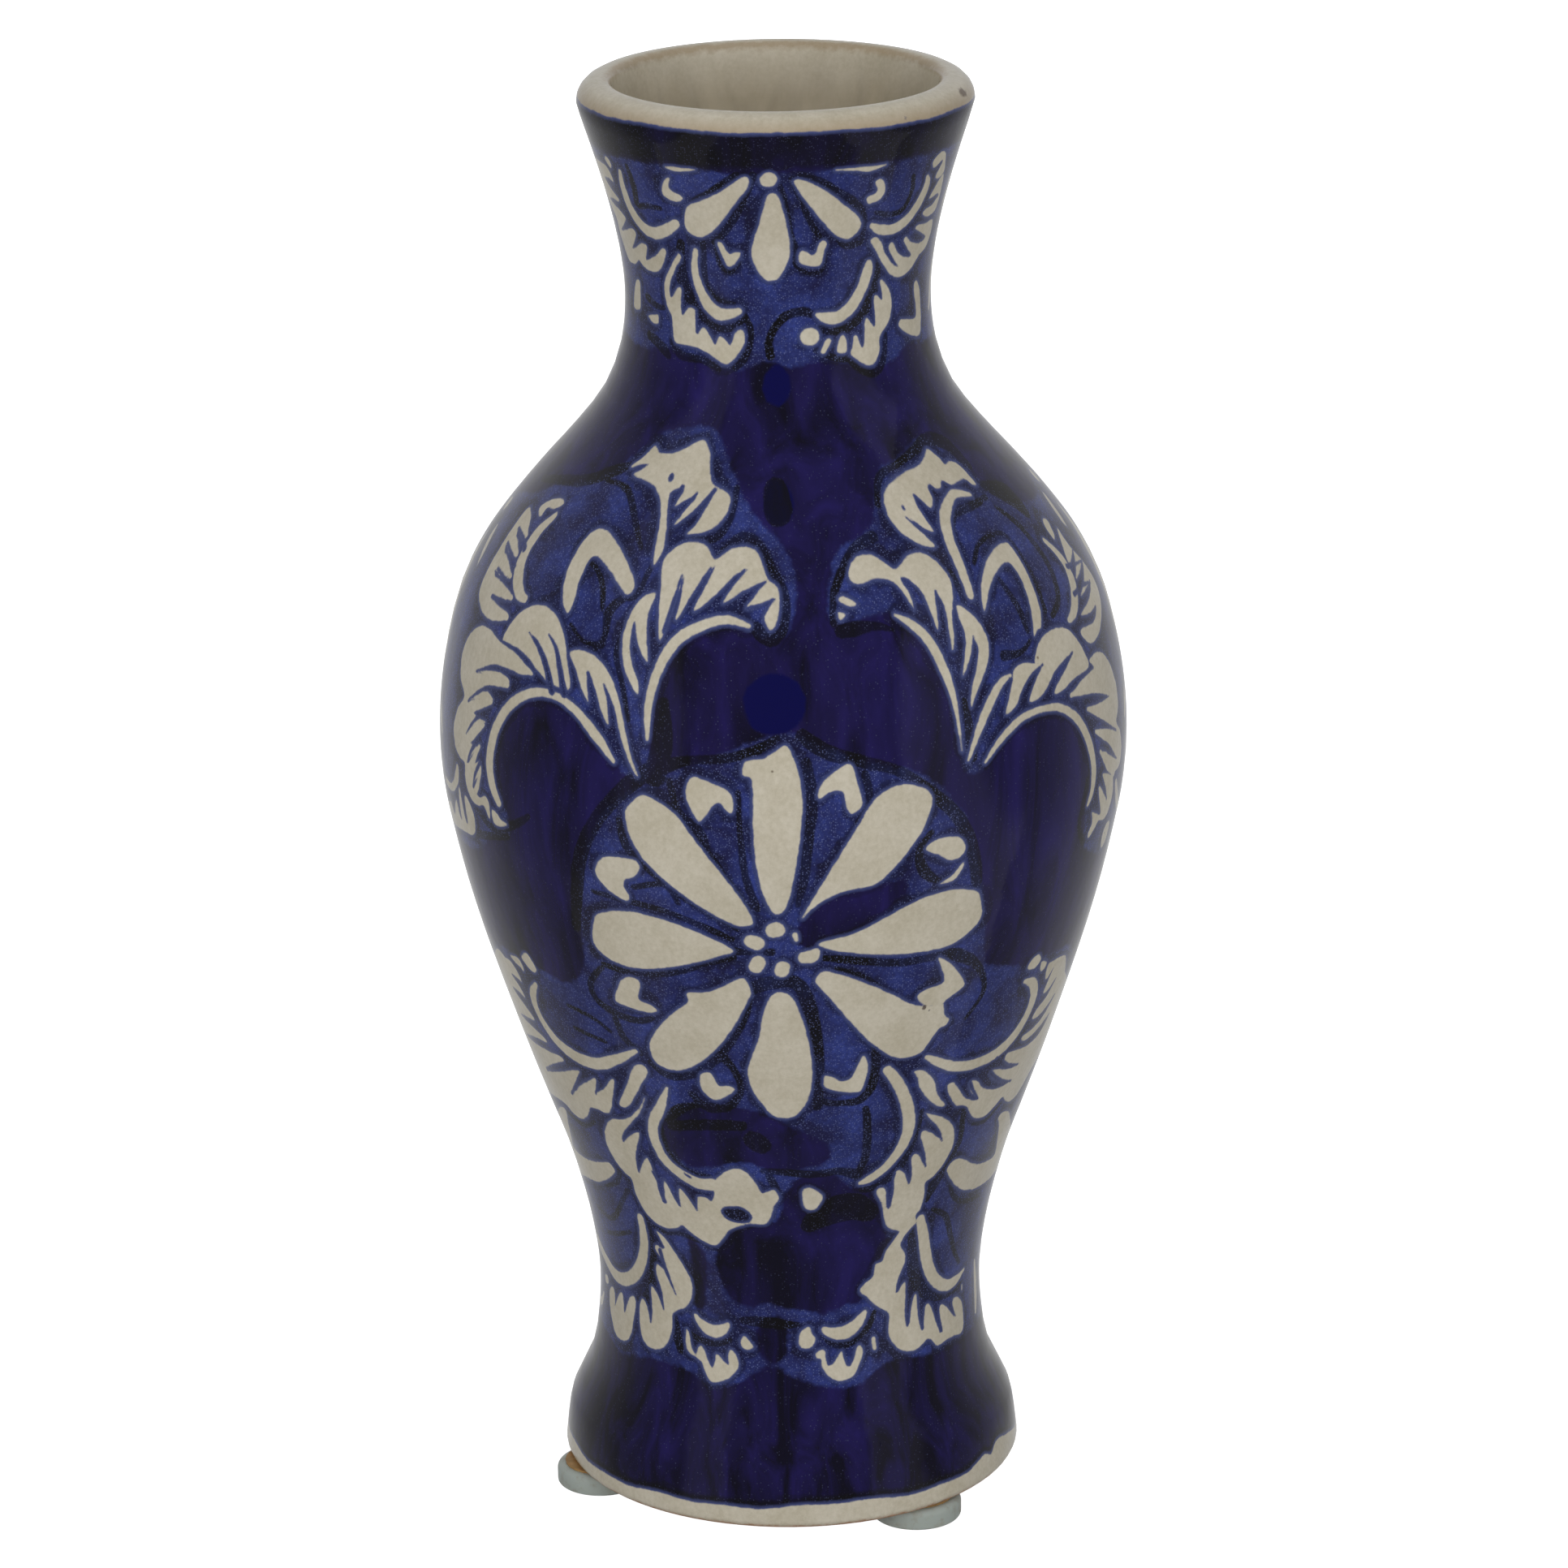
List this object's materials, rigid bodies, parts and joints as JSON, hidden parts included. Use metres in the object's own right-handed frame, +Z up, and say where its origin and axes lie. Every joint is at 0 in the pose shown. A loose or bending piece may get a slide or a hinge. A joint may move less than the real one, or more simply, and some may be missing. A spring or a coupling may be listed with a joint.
{
  "type": "vase",
  "caption": "Glazed earthenware baluster vase with a flared neck and foot, painted with blue and white flowers and scrolls, standing on stick-on rubber pads, for cut flowers.",
  "frame": {"origin": "on the vase's axis, at the surface that the pads stand on", "axes": "+Z up along the vase's axis; -Y is the front, with the painted rosette in its middle; +X is to the right seen from the front"},
  "size_m": [0.0958, 0.0958, 0.2032],
  "materials": {
    "glazed_earthenware": "cobalt painted on a warm white ground under a clear gloss glaze",
    "silicone_pad": "moulded, milky and translucent",
    "pad_adhesive": "amber pressure-sensitive film"
  },
  "bodies": {
    "root": {"vase_body": "glazed_earthenware", "foot_pad_1": "silicone_pad", "foot_pad_2": "silicone_pad", "foot_pad_3": "silicone_pad", "adhesive_disc_1": "pad_adhesive", "adhesive_disc_2": "pad_adhesive", "adhesive_disc_3": "pad_adhesive"}
  },
  "joints": []
}
